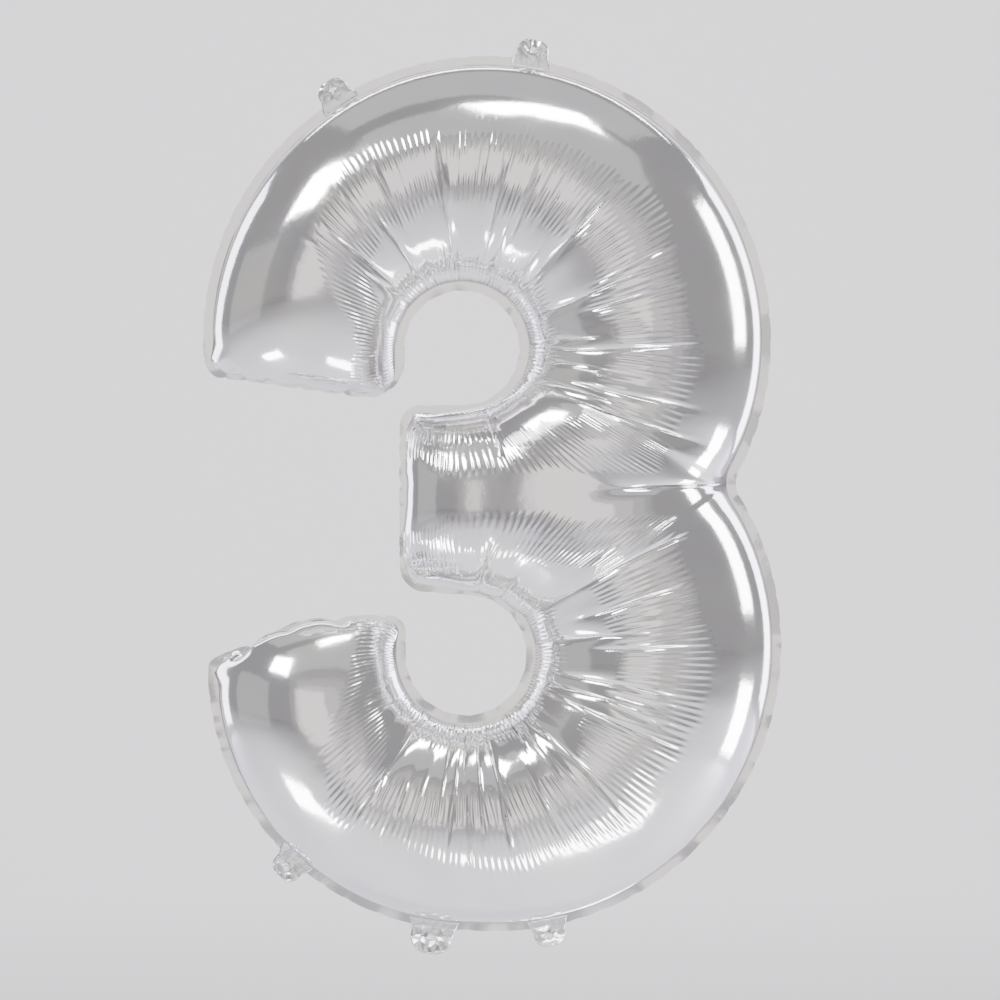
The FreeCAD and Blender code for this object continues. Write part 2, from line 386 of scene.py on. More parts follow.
def row_ends(half):
    """Where each row leaves the inner weld and where it meets the outer weld or the middle line."""
    inner, outer, hole, way = half["inner"], half["outer"], half["hole"], half["way"]
    outer_angle = np.degrees(np.unwrap(np.arctan2(outer[:, 1] - hole[1], outer[:, 0] - hole[0])))
    outer_angle -= 360 * np.round((outer_angle[0] - half["starts"][0]) / 360)
    waist_angle = outer_angle[-1]
    rim_start = lengths(inner)[np.argmin(np.hypot(*(inner - (hole + (-half["rim"], 0))).T))]

    def rim_place(angle):
        return rim_start + np.radians(np.abs(angle - half["starts"][0])) * half["rim"]

    def outer_place(angle):
        return np.interp(way * angle, way * outer_angle, lengths(outer))

    def outer_facing(angle):
        return np.interp(way * angle, [way * half["starts"][0], way * half["turns"][0], way * waist_angle],
                         [half["starts"][1], half["turns"][1], waist_angle])

    fine = half["starts"][0] + (waist_angle - half["starts"][0]) * np.linspace(0, 1, 400)
    inner_steps = np.diff(rim_place(fine)) / INNER_STEP
    outer_steps = np.diff(outer_place(outer_facing(fine))) / OUTER_STEP
    need = np.concatenate([[0], np.cumsum(np.maximum(inner_steps, outer_steps))])
    ring = np.interp(np.linspace(0, need[-1], WAIST_ROW - ARM_ROWS + 1), need, fine)
    ring_in = rim_place(ring)
    ring_out = outer_place(outer_facing(ring))
    fork_in = rim_place(np.linspace(waist_angle, half["below"], FORK_ROW - WAIST_ROW + 1)[1:])
    middle_in = np.linspace(fork_in[-1], lengths(inner)[-1], ROWS - FORK_ROW + 1)[1:]
    arm_in = np.linspace(0, ring_in[0], ARM_ROWS + 1)[:-1]
    arm_out = np.linspace(0, ring_out[0], ARM_ROWS + 1)[:-1]
    starts = along_line(inner, np.concatenate([arm_in, ring_in, fork_in, middle_in]))
    fork = np.array([UPPER_HOLE[0], waist[1] + (arm_tip[1] - waist[1]) * (waist[0] - UPPER_HOLE[0])
                     / (waist[0] - arm_tip[0])])
    to_fork = waist + (fork - waist) * np.linspace(0, 1, FORK_ROW - WAIST_ROW + 1)[1:, None]
    to_tip = fork + (arm_tip - fork) * np.linspace(0, 1, ROWS - FORK_ROW + 1)[1:, None]
    ends = np.concatenate([along_line(outer, np.concatenate([arm_out, ring_out])), to_fork, to_tip])
    return starts, ends


def film_rows(half):
    """The flat film as a grid, how far across the swelling each column lies, and each row's half width."""
    starts, ends = row_ends(half)
    width = np.hypot(*(ends - starts).T)
    past = smooth(row, WAIST_ROW, FORK_ROW)
    half_width = np.where(row <= WAIST_ROW, width / 2,
                          np.where(row >= FORK_ROW, width,
                                   width[WAIST_ROW] / 2 * (1 - past) + width[FORK_ROW] * past))
    reach = np.arccos(np.clip(1 - width / half_width, -1, 1)) / math.pi
    across = np.linspace(0, 1, COLUMNS + 1)[None, :] * reach[:, None]
    share = (1 - np.cos(math.pi * across)) / (1 - np.cos(math.pi * reach))[:, None]
    even = np.linspace(0, 1, COLUMNS + 1)[None, :]
    at_ends = np.maximum(*from_ends(EVEN_ROWS))[:, None] ** END_FADE
    share = share * (1 - at_ends) + even * at_ends
    flat = starts[:, None] + (ends - starts)[:, None] * share[..., None]
    first = along_line(half["first"], share[0] * lengths(half["first"])[-1]) - flat[0]
    last = along_line(half["last"], share[-1] * lengths(half["last"])[-1]) - flat[-1]
    from_first, from_last = from_ends(CURVED_ROWS)
    flat += first[None] * from_first[:, None, None] ** END_FADE
    flat += last[None] * from_last[:, None, None] ** END_FADE
    return flat, across, half_width


def rounded_end(distance, length, least):
    """How full the swelling is near an arm's end, as a quarter circle that rises over a length."""
    return np.maximum(np.sqrt(np.clip(1 - (1 - np.minimum(distance / length, 1)) ** 2, 0, 1)), least)


def swollen(flat, across, half_width, least_end):
    """The smooth pillow that the film makes before it creases; least_end keeps the ends from narrowing."""
    ends = rounded_end(np.linalg.norm(flat - flat[0], axis=-1), END_LENGTH, least_end)
    ends = ends * rounded_end(np.linalg.norm(flat - flat[-1], axis=-1), MIDDLE_END_LENGTH, least_end)
    height = FULLNESS * half_width[:, None] * np.sin(math.pi * across) * ends
    return np.stack([flat[..., 0], -height, flat[..., 1]], -1)


# Length to spare, as a share of the film's own: in the long creases, which come at uneven gaps, at the
# inner weld, in the band round the hole, at the tips of its creases and along the outer weld.
CREASE_WIDTH = 2.4
CREASE_GAIN = 1.15
CREASE_EVERY = (12.0, 62.0)
RIM_GAIN = 0.10
BAND_GAIN = 0.03
TIP_GAIN = 0.07
OUTER_GAIN = 0.03
END_GAIN = 0.10
GATHERED_ROWS = (22.0, 14.0)
CRIMPED_ROWS = (30.0, 18.0)
CRIMP_DEPTH = 1.7
RIDGE_SHARE = 0.36
MIDDLE_SPREAD = 1 + 0.42 * smooth(row, WAIST_ROW, FORK_ROW)
calm = 0.34 * (1 - smooth(row, 40, 230)) + 0.16 * smooth(row, FORK_ROW - 40, ROWS)


def ridge_arc(shape):
    """How far along the swelling each row lies, on the line that the creases are spaced by."""
    ridge = shape[:, int(RIDGE_SHARE * COLUMNS)]
    return np.concatenate([[0], np.cumsum(np.linalg.norm(np.diff(ridge, axis=0), axis=-1))])


def long_creases(arc, seed):
    """Where the long creases run, as a bump for each along the arc of the swelling."""
    chance = np.random.default_rng(seed)
    bumps = np.zeros_like(arc)
    place = chance.uniform(8, 16)
    while place < arc[-1] - 6:
        bumps += chance.uniform(0.25, 1.0) * np.exp(-((arc - place) / CREASE_WIDTH) ** 2)
        place += chance.uniform(*CREASE_EVERY)
    return bumps


def spare_length(shape, across, seed):
    """How much longer the film is, row to row, than the smooth pillow has room for."""
    arc = ridge_arc(shape)
    across = across * MIDDLE_SPREAD[:, None]
    ring = smooth(row, 10, 150) * (1 - 0.5 * smooth(row, WAIST_ROW - 40, WAIST_ROW + 60))
    chance = np.random.default_rng(seed)
    reach = np.interp(row, np.linspace(0, ROWS, 70), chance.uniform(-0.06, 0.06, 70))
    reach = (reach + 0.10 * (1 - smooth(row, 90, 330)))[:, None]
    creases = long_creases(arc, seed)[:, None] * smooth(across, 0.05, 0.2)
    creases = creases * (1 - smooth(across + reach, 0.42, 0.54))
    rim = smooth(across, 0.0, 0.04) * (1 - smooth(across, 0.17, 0.3))
    band = smooth(across, 0.1, 0.2) * (1 - smooth(across + reach, 0.5, 0.64))
    tips = np.exp(-((across - 0.46 - 0.5 * reach) / 0.045) ** 2)
    tips = tips + np.exp(-((across - 0.585 + 0.5 * reach) / 0.05) ** 2)
    inner = CREASE_GAIN * creases + RIM_GAIN * rim + BAND_GAIN * band + TIP_GAIN * tips
    outer = OUTER_GAIN * smooth(across, 0.86, 1.0) * (1 - smooth(row, WAIST_ROW - 30, WAIST_ROW))[:, None]
    return 1 + ring[:, None] * inner + outer


def end_crimps(seed):
    """Small folds that stand square to the weld at both ends of a half."""
    chance = np.random.default_rng(seed)
    folds = np.interp(np.arange(COLUMNS + 1), np.linspace(0, COLUMNS, 45), chance.uniform(-1, 1, 45))
    return folds[None, :] * near_ends(CRIMPED_ROWS)[:, None] * CRIMP_DEPTH


FRONT_AND_BACK = ((1, 11), (-1, 47))
shapes = []
row_rests = []
column_rests = []
gathered = near_ends(GATHERED_ROWS)
for face, seed in FRONT_AND_BACK:
    for number, half in enumerate((upper_half, lower_half)):
        flat, across, half_width = film_rows(half)
        flat = puckered(flat)
        shape = swollen(flat, across, half_width, 0.0)
        uncut = swollen(flat, across, half_width, 0.75)
        spare = spare_length(shape, across, seed + number)
        row_rests.append(np.linalg.norm(np.diff(shape, axis=0), axis=-1) * (spare[1:] + spare[:-1]) / 2)
        widths = np.linalg.norm(np.diff(uncut, axis=1), axis=-1)
        column_rests.append(widths * (1 + END_GAIN * gathered)[:, None])
        shape[..., 1] += end_crimps(seed + 20 + number)
        shapes.append(shape * (1, face, 1))
        if face == 1:
            half["across"] = across * MIDDLE_SPREAD[:, None] + calm[:, None]
            half["arc"] = ridge_arc(shape)
shapes = np.array(shapes)
for face in (0, 2):
    shared = (shapes[face, WAIST_ROW:, -1] + shapes[face + 1, WAIST_ROW:, -1]) / 2
    shapes[face, WAIST_ROW:, -1] = shared
    shapes[face + 1, WAIST_ROW:, -1] = shared
row_rests = np.array(row_rests)
column_rests = np.array(column_rests)


def rests_at(step):
    """The shape and its rest lengths on every step-th row and column."""
    points = shapes[:, ::step, ::step]
    rows = row_rests.reshape(4, ROWS // step, step, COLUMNS + 1).sum(2)[:, :, ::step]
    columns = column_rests.reshape(4, ROWS + 1, COLUMNS // step, step).sum(3)[:, ::step]
    down = points[:, 1:] - points[:, :-1]
    over = points[:, :, 1:] - points[:, :, :-1]
    down = (down[:, :, 1:] + down[:, :, :-1]) / 2
    over = (over[:, 1:] + over[:, :-1]) / 2
    skew = (down * over).sum(-1) / (np.linalg.norm(down, axis=-1) * np.linalg.norm(over, axis=-1) + 1e-9)
    tall = (rows[:, :, 1:] + rows[:, :, :-1]) / 2
    wide = (columns[:, 1:] + columns[:, :-1]) / 2
    square = tall ** 2 + wide ** 2
    lean = 2 * tall * wide * skew
    falling = np.sqrt(np.maximum(square + lean, 1e-6))
    rising = np.sqrt(np.maximum(square - lean, 1e-6))
    return [part.astype(np.float32) for part in (points, rows, columns, falling, rising)]


DRAG = 0.93
GAS_PUSH = 0.01
LEAST_GAP = 0.05
MIDDLE_STIFFNESS = 0.25


def pull(a, b, rest, free_a, free_b, share):
    """Moves two sets of points towards the lengths between them."""
    gap = b - a
    length = np.sqrt((gap * gap).sum(-1))
    move = (share * (length - rest) / (length + 1e-9) / (free_a + free_b + 1e-9))[..., None] * gap
    a += move * free_a[..., None]
    b -= move * free_b[..., None]


def settle(points, rests, free, waist_row, turns, stiffness):
    """Lets the film find its folds under the gas: it bulges, keeps its lengths and bends stiffly."""
    _, rows, columns, falling, rising = rests
    past = np.arange(points.shape[1] - waist_row) / (points.shape[1] - waist_row)
    fork_free = smooth(past, 0.35, 0.7)[None, :, None].astype(np.float32)
    fork_free[:, -1] = 0
    count = points.shape[1]
    outward = np.array([1, 1, -1, -1], np.float32).reshape(4, 1, 1)
    before = points.copy()
    down = points[:, 2:, 1:-1] - points[:, :-2, 1:-1]
    over = points[:, 1:-1, 2:] - points[:, 1:-1, :-2]
    faces_in = np.sign(np.cross(down, over)[..., 1].mean((1, 2))).reshape(4, 1, 1, 1) * -outward[..., None]
    for _ in range(turns):
        down = np.empty_like(points)
        down[:, 1:-1] = points[:, 2:] - points[:, :-2]
        down[:, 0] = points[:, 1] - points[:, 0]
        down[:, -1] = points[:, -1] - points[:, -2]
        over = np.empty_like(points)
        over[:, :, 1:-1] = points[:, :, 2:] - points[:, :, :-2]
        over[:, :, 0] = points[:, :, 1] - points[:, :, 0]
        over[:, :, -1] = points[:, :, -1] - points[:, :, -2]
        normal = np.cross(down, over)
        normal *= faces_in / (np.sqrt((normal * normal).sum(-1, keepdims=True)) + 1e-9)
        moved = points + (points - before) * DRAG + normal * GAS_PUSH
        before = points
        points = np.where(free[..., None] > 0, moved, points)
        for odd in (0, 1):
            pairs = (count - odd) // 2
            a, b = slice(odd, odd + 2 * pairs, 2), slice(odd + 1, odd + 1 + 2 * pairs, 2)
            pull(points[:, a], points[:, b], rows[:, a], free[:, a], free[:, b], 1.0)
            pull(points[:, a, :-1], points[:, b, 1:], falling[:, a], free[:, a, :-1], free[:, b, 1:], 0.5)
            pull(points[:, a, 1:], points[:, b, :-1], rising[:, a], free[:, a, 1:], free[:, b, :-1], 0.5)
            pairs = (points.shape[2] - odd) // 2
            a, b = slice(odd, odd + 2 * pairs, 2), slice(odd + 1, odd + 1 + 2 * pairs, 2)
            pull(points[:, :, a], points[:, :, b], columns[:, :, a], free[:, :, a], free[:, :, b], 1.0)
        for axis in (1, 2):
            line = np.moveaxis(points, axis, 1)
            loose = np.moveaxis(free, axis, 1)[..., None]
            bend = stiffness * ((line[:, 2:] + line[:, :-2]) / 2 - line[:, 1:-1])
            line[:, 1:-1] += bend * loose[:, 1:-1]
            line[:, 2:] -= bend * loose[:, 2:] / 2
            line[:, :-2] -= bend * loose[:, :-2] / 2
        shared = (points[0::2, waist_row:, -1] + points[1::2, waist_row:, -1]) / 2
        beside = (points[0::2, waist_row:, -2] + points[1::2, waist_row:, -2]) / 2
        shared = shared + MIDDLE_STIFFNESS * fork_free * (beside - shared)
        points[0::2, waist_row:, -1] = shared
        points[1::2, waist_row:, -1] = shared
        inside = np.maximum(-outward * points[..., 1], LEAST_GAP)
        points[..., 1] = np.where(free > 0, -outward * inside, points[..., 1])
    return points


def finer(points, count, axis):
    """The same surface on more rows or columns, by cubic interpolation."""
    line = np.moveaxis(points, axis, 0)
    last = len(line) - 1
    place = np.linspace(0, last, count)
    at = np.minimum(place.astype(int), last - 1)
    shape = (-1,) + (1,) * (line.ndim - 1)
    part = (place - at).reshape(shape).astype(np.float32)
    before, start, end, after = (line[np.clip(at + k, 0, last)] for k in (-1, 0, 1, 2))
    before = np.where((at == 0).reshape(shape), 2 * start - end, before)
    after = np.where((at == last - 1).reshape(shape), 2 * end - start, after)
    curve = 2 * start + (end - before) * part + (2 * before - 5 * start + 4 * end - after) * part ** 2
    curve = curve + (3 * start - before - 3 * end + after) * part ** 3
    return np.moveaxis(curve / 2, 0, axis)


# Step between rows and columns, turns, stiffness, and the unevenness that starts the folds.
STAGES = [(2, 110, 0.04, 0.3), (1, 90, 0.03, 0.2)]
film = None
for step, turns, stiffness, unevenness in STAGES:
    rests = rests_at(step)
    free = np.ones(rests[0].shape[:3], np.float32)
    free[:, 0] = 0
    free[:, -1] = 0
    free[:, :, 0] = 0
    free[:, :WAIST_ROW // step + 1, -1] = 0
    if film is None:
        film = rests[0].copy()
    else:
        film = finer(finer(film, rests[0].shape[1], 1), rests[0].shape[2], 2)
    film = np.where(free[..., None] > 0, film, rests[0]).astype(np.float32)
    grain = np.random.default_rng(step).standard_normal(film.shape[:3]) * unevenness
    film[..., 1] += (grain * free).astype(np.float32)
    film = settle(film, rests, free, WAIST_ROW // step, turns, stiffness)
step = STAGES[-1][0]


def tiles(index):
    """Four-cornered faces between neighbouring rows and columns of point numbers."""
    return np.stack([index[:-1, :-1], index[1:, :-1], index[1:, 1:], index[:-1, 1:]], -1).reshape(-1, 4)


def sheet_object(name, points, faces, places=None):
    """A smooth-shaded mesh object from points in millimetres; places gives the film's own UV map."""
    used, renumbered = np.unique(faces, return_inverse=True)
    mesh = bpy.data.meshes.new(name)
    mesh.from_pydata((points[used] * MM).tolist(), [], renumbered.reshape(faces.shape).tolist())
    mesh.shade_smooth()
    if places is not None:
        mesh.uv_layers.new(name="film").data.foreach_set("uv", places.astype(np.float32).ravel())
    mesh.update()
    piece = bpy.data.objects.new(name, mesh)
    bpy.context.scene.collection.objects.link(piece)
    return piece


# The margin outside the weld is flat film under no pressure: it ripples towards its cut edge.
STRIP_INSETS = (9.4, 9.0, 7.4, 5.6, 3.8, 2.0, 0.8, 0.0)
RIPPLE = 1.15
EDGE_DRAW = 1.5
# Width, reach and tip radius, then each tab's own side, place round it in degrees, body and seed.
TAB_SIZE = (30.0, 19.0, 11.5)
TAIL_SIZE = (40.0, 25.0, 16.0)
TABS = {
    "hanging_tab_top": (UPPER, BOWL_R, 81.0, TAB_SIZE, "tab_top", 3),
    "hanging_tab_upper_left": (UPPER, BOWL_R, 121.8, TAB_SIZE, "tab_upper_left", 4),
    "hanging_tab_lower_left": (SWELL, SWELL_R, 227.5, TAB_SIZE, "tab_lower_left", 5),
    "hanging_tab_bottom_right": (LOWER, LOWER_BOWL_R, 280.7, TAB_SIZE, "tab_bottom_right", 6),
    "inflation_tail": (SWELL, SWELL_R, 261.9, TAIL_SIZE, "inflation_tail", 7),
}
strips = [np.concatenate([run[:-1] for _, run in cut_line(inset)]) for inset in STRIP_INSETS]
seam_line = strips[1]
seam_arc = lengths(seam_line)
chance = np.random.default_rng(21)
waves = np.zeros(len(seam_line))
for spacing, size in ((34.0, 0.5), (17.0, 0.5), (7.5, 0.22)):
    knots = int(seam_arc[-1] / spacing)
    heights = chance.uniform(-1, 1, knots)
    heights[-1] = heights[0]
    waves += size * np.interp(seam_arc, np.linspace(0, seam_arc[-1], knots), heights)
waves = np.convolve(np.concatenate([waves[-6:], waves, waves[:6]]), np.ones(7) / 7, "same")[6:-6]
draw = drawn_in(seam_arc, *scallops(seam_arc[-1] + 60, 31, 16.0, 34.0))
near_tab = np.ones(len(seam_line))
for centre, radius, degrees, (width, *_), *_ in TABS.values():
    away = np.hypot(*(seam_line - spot(centre, radius - MARGIN, degrees)).T)
    near_tab *= smooth(away, width / 2 + 1.0, width / 2 + 12.0)


def margin_points(face):
    """The margin of one film, from the weld to the cut edge, as rows of points."""
    columns = []
    for inset, line in zip(STRIP_INSETS, strips):
        out = np.clip((MARGIN - inset) / MARGIN, 0, 1)
        inward = seam_line - strips[-1]
        inward /= np.hypot(*inward.T)[:, None]
        flat = puckered(line + inward * (EDGE_DRAW * draw * near_tab * out ** 1.5)[:, None])
        lift = RIPPLE * waves * near_tab * out ** 1.3 - face * 0.12 * (1 - out)
        columns.append(np.stack([flat[:, 0], lift, flat[:, 1]], 1))
    return np.stack(columns, 1)


# The film's UV map: U is the distance along the swelling in metres, and V how far across it, with a
# shift that keeps the two halves and the margin apart.
HALF_SHIFTS = ((0.0, upper_half), (2.0, lower_half))
MARGIN_SHIFT = 5.0


def foil_panel(name, face, number):
    """One wall: the two swollen halves joined along the middle line, and its margin."""
    upper, lower = film[number], film[number + 1]
    rows, columns = upper.shape[:2]
    upper_index = np.arange(rows * columns).reshape(rows, columns)
    lower_own = upper_index + rows * columns
    lower_index = lower_own.copy()
    lower_index[WAIST_ROW // step:, -1] = upper_index[WAIST_ROW // step:, -1]
    margin = margin_points(face)
    margin_index = np.arange(margin.shape[0] * margin.shape[1]).reshape(margin.shape[:2]) + 2 * rows * columns
    margin_index = np.concatenate([margin_index, margin_index[:1]])
    points = np.concatenate([upper.reshape(-1, 3), lower.reshape(-1, 3), margin.reshape(-1, 3)])
    places = []
    for shift, half in HALF_SHIFTS:
        arc = np.repeat(half["arc"][::step], columns) * MM
        places.append(np.stack([arc, half["across"][::step, ::step].ravel() + shift], 1))
    arc = np.repeat(seam_arc, len(STRIP_INSETS)) * MM
    places.append(np.stack([arc, np.full(margin_index[:-1].size, MARGIN_SHIFT)], 1))
    places = np.concatenate(places)
    faces = []
    corners = []
    for index, own in ((upper_index, upper_index), (lower_index, lower_own), (margin_index, margin_index)):
        part = tiles(index)
        place = tiles(own)
        normal = np.cross(points[part[:, 1]] - points[part[:, 0]], points[part[:, 3]] - points[part[:, 0]])
        turned = normal[:, 1].mean() * face > 0
        faces.append(part[:, ::-1] if turned else part)
        corners.append(places[(place[:, ::-1] if turned else place).ravel()])
    return sheet_object(name, points, np.concatenate(faces), np.concatenate(corners))


def linear(colour):
    """An sRGB hex colour as the linear values that a shader takes."""
    parts = [int(colour[k:k + 2], 16) / 255 for k in (1, 3, 5)]
    return tuple(p / 12.92 if p <= 0.04045 else ((p + 0.055) / 1.055) ** 2.4 for p in parts) + (1.0,)


def add(tree, kind, settings=None, inputs=None, links=None):
    """Adds a shader node, sets its options and values, and links other nodes' outputs into it."""
    made = tree.nodes.new(kind)
    for name, value in (settings or {}).items():
        setattr(made, name, value)
    for name, value in (inputs or {}).items():
        made.inputs[name].default_value = value
    for name, source in (links or {}).items():
        tree.links.new(source, made.inputs[name])
    return made


def material(name):
    """A new material, its node tree and its main shader."""
    made = bpy.data.materials.new(name)
    made.use_nodes = True
    return made, made.node_tree, made.node_tree.nodes["Principled BSDF"]


def ramp(tree, factor, stops):
    """A colour ramp over a factor; stops are (place, brightness) or (place, colour)."""
    made = add(tree, "ShaderNodeValToRGB", links={"Fac": factor})
    while len(made.color_ramp.elements) < len(stops):
        made.color_ramp.elements.new(0.5)
    for element, (place, value) in zip(made.color_ramp.elements, stops):
        element.position = place
        element.color = linear(value) if isinstance(value, str) else (value, value, value, 1)
    return made.outputs["Color"]


# Fine creases: spacing in mm, how far across each one runs, depth in mm, how ragged they are, and
# where they lie from the inner weld (0) to the outer one (0.5). The wave texture repeats every
# WAVE_UNIT at a scale of one.
WAVE_UNIT = 0.314
STREAKS = (
    (5.2, 0.12, 1.35, 0.5, [(0.0, 0.6), (0.03, 1.0), (0.095, 0.9), (0.13, 0.0)]),
    (3.6, 0.10, 0.50, 0.2, [(0.195, 0.0), (0.21, 1.0), (0.235, 1.0), (0.25, 0.3), (0.27, 0.35), (0.285, 1.0),
                            (0.305, 0.8), (0.322, 0.0)]),
)


def foil_finish(name, shift):
    """Bright metallised film: a mirror finish broken by fine crinkles, finest in fans round the holes."""
    made, tree, shader = material(name)
    where = add(tree, "ShaderNodeTexCoord")
    mapping = add(tree, "ShaderNodeMapping", inputs={"Location": (shift, 0.0, 0.0)},
                  links={"Vector": where.outputs["Object"]})
    broad = add(tree, "ShaderNodeTexNoise", inputs={"Scale": 14.0, "Detail": 2.0},
                links={"Vector": mapping.outputs["Vector"]})
    fine = add(tree, "ShaderNodeTexNoise", inputs={"Scale": 160.0, "Detail": 3.0, "Roughness": 0.55},
               links={"Vector": mapping.outputs["Vector"]})
    film_place = add(tree, "ShaderNodeUVMap", {"uv_map": "film"})
    split = add(tree, "ShaderNodeSeparateXYZ", links={"Vector": film_place.outputs["UV"]})
    local = add(tree, "ShaderNodeMath", {"operation": "MODULO"}, {1: 2.0}, {0: split.outputs["Y"]})
    half_value = add(tree, "ShaderNodeMath", {"operation": "MULTIPLY"}, {1: 0.5}, {0: local.outputs["Value"]})
    normal = add(tree, "ShaderNodeBump", inputs={"Strength": 0.12, "Distance": 0.0006},
                 links={"Height": fine.outputs["Fac"]})
    wander = add(tree, "ShaderNodeMapping", inputs={"Scale": (26.0, 2.0, 1.0), "Location": (shift * 7, 0, 0)},
                 links={"Vector": film_place.outputs["UV"]})
    uneven = add(tree, "ShaderNodeTexNoise", {"noise_dimensions": "2D"}, {"Scale": 1.0, "Detail": 2.0},
                 {"Vector": wander.outputs["Vector"]})
    across = add(tree, "ShaderNodeMath", {"operation": "MULTIPLY_ADD"}, {1: 0.07, 2: -0.035},
                 {0: uneven.outputs["Fac"]})
    across = add(tree, "ShaderNodeMath", {"operation": "ADD"}, {},
                 {0: across.outputs["Value"], 1: half_value.outputs["Value"]})
    for spacing, reach, depth, rough_share, bands in STREAKS:
        scale = (WAVE_UNIT / (spacing * MM), 0.3 / reach, 1.0)
        stretch = add(tree, "ShaderNodeMapping", inputs={"Scale": scale, "Location": (shift, 0, 0)},
                      links={"Vector": film_place.outputs["UV"]})
        even = add(tree, "ShaderNodeTexWave", {"wave_type": "BANDS", "bands_direction": "X"},
                   {"Scale": 1.0, "Distortion": 3.0, "Detail": 1.0, "Detail Scale": 1.4},
                   {"Vector": stretch.outputs["Vector"]})
        grain = add(tree, "ShaderNodeTexNoise", {"noise_dimensions": "2D"}, {"Scale": 4.0, "Detail": 1.0},
                    {"Vector": stretch.outputs["Vector"]})
        both = add(tree, "ShaderNodeMix", {"data_type": "FLOAT"}, {0: rough_share},
                   {2: even.outputs["Fac"], 3: grain.outputs["Fac"]})
        height = add(tree, "ShaderNodeMath", {"operation": "MULTIPLY"}, {},
                     {0: both.outputs[0], 1: ramp(tree, across.outputs["Value"], bands)})
        normal = add(tree, "ShaderNodeBump", inputs={"Strength": 1.0, "Distance": depth * MM},
                     links={"Height": height.outputs["Value"], "Normal": normal.outputs["Normal"]})
    tree.links.new(normal.outputs["Normal"], shader.inputs["Normal"])
    tree.links.new(ramp(tree, broad.outputs["Fac"], [(0.35, "#e9e7ec"), (0.65, "#f1f0ee")]),
                   shader.inputs["Base Color"])
    tree.links.new(ramp(tree, broad.outputs["Fac"], [(0.3, 0.08), (0.7, 0.13)]), shader.inputs["Roughness"])
    shader.inputs["Metallic"].default_value = 1.0
    return made


for name, node, face, number, slot, shift in (
        ("front_panel", "front_foil_panel", 1, 0, "front_foil", 0.0),
        ("back_panel", "back_foil_panel", -1, 2, "back_foil", 3.0)):
    panel = foil_panel(name, face, number)
    panel.data.materials.append(foil_finish(slot + "_film", shift))
    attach(panel, "balloon")
    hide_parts(node)

# ---------------------------------------------------------------- hanging tabs and inflation tail
# Each tab is an outward tongue of both films, welded face to face and punched for a ribbon. The
# tail is a wider one, where the gas goes in. The weld leaves them crumpled.

TAB_ROOT = 8.0
TAB_FLARE = 4.5
TAB_HALF_THICKNESS = 0.28
HANG_HOLE_R = 2.5
TAB_RINGS = 12
TAB_SPOKES = 144
TAB_CRUMPLE = 1.5
TAB_FOLDS = 26
MOST_LIFT = 2.6


def tab_edge(width, reach, tip_r):
    """The tab's outline round its punched hole, as distance and side from the margin's cut edge."""
    half = width / 2
    right = np.radians(np.linspace(0, 90, 24))
    tip_right = np.stack([reach - tip_r + tip_r * np.sin(right), half - tip_r + tip_r * np.cos(right)], 1)
    tip_left = tip_right[::-1] * (1, -1)
    root_right = np.array([[-TAB_ROOT, half + TAB_FLARE], [-2.0, half + 3.0], [1.0, half + 1.2],
                           [4.5, half - 0.2]])
    root_left = root_right[::-1] * (1, -1)
    closed = np.concatenate([root_right, tip_right, tip_left, root_left, root_right[:1]])
    return along_line(closed, np.linspace(0, lengths(closed)[-1], TAB_SPOKES + 1)[:-1])


def film_tab(name, centre, radius, degrees, size, body, seed):
    """Both films of one tab, meeting at the cut edge and at the punched hole."""
    width, reach, tip_r = size
    edge = tab_edge(width, reach, tip_r)
    hole = np.array([HANG_HOLE_OUT, 0.0])
    bearing = np.arctan2(edge[:, 1], edge[:, 0] - HANG_HOLE_OUT)
    rim = hole + HANG_HOLE_R * np.stack([np.cos(bearing), np.sin(bearing)], 1)
    out = np.linspace(0, 1, TAB_RINGS + 1)
    flat = rim[None] + (edge - rim)[None] * out[:, None, None]
    chance = np.random.default_rng(seed)
    lift = np.zeros(flat.shape[:2])
    for _ in range(TAB_FOLDS):
        place = chance.uniform((0.0, -width / 2), (reach, width / 2))
        turn = chance.uniform(0, math.pi)
        cut = (flat[..., 0] - place[0]) * math.cos(turn) + (flat[..., 1] - place[1]) * math.sin(turn)
        lift += chance.uniform(-1, 1) * (np.abs(cut) - 4.0) * np.exp(-(cut / 8.0) ** 2) * 0.12
    lift = TAB_CRUMPLE * lift * smooth(flat[..., 0], -3.0, 7.0)
    lift = np.clip(lift, -MOST_LIFT, MOST_LIFT)
    thick = TAB_HALF_THICKNESS * np.sqrt(np.clip(1 - (2 * out - 1) ** 4, 0, 1))[:, None]
    over_margin = 1 - smooth(flat[..., 0], -1.0, 5.0)
    thick = thick + 0.25 * over_margin * np.sqrt(np.clip(1 - out ** 6, 0, 1))[:, None]
    turn = math.radians(degrees)
    x = centre[0] + (radius + flat[..., 0]) * math.cos(turn) - flat[..., 1] * math.sin(turn)
    z = centre[1] + (radius + flat[..., 0]) * math.sin(turn) + flat[..., 1] * math.cos(turn)
    points = np.concatenate([np.stack([x, lift - thick, z], -1).reshape(-1, 3),
                             np.stack([x, lift + thick, z], -1).reshape(-1, 3)])
    count = (TAB_RINGS + 1) * TAB_SPOKES
    front = np.arange(count).reshape(TAB_RINGS + 1, TAB_SPOKES)
    back = front + count
    back[0], back[-1] = front[0], front[-1]
    front, back = (np.concatenate([side, side[:, :1]], 1) for side in (front, back))
    faces = []
    for index, face in ((front, 1), (back, -1)):
        part = tiles(index)
        normal = np.cross(points[part[:, 1]] - points[part[:, 0]], points[part[:, 3]] - points[part[:, 0]])
        faces.append(part if normal[:, 1].sum() * face < 0 else part[:, ::-1])
    piece = sheet_object(name + "_film", points, np.concatenate(faces))
    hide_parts(name)
    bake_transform(piece)
    return piece


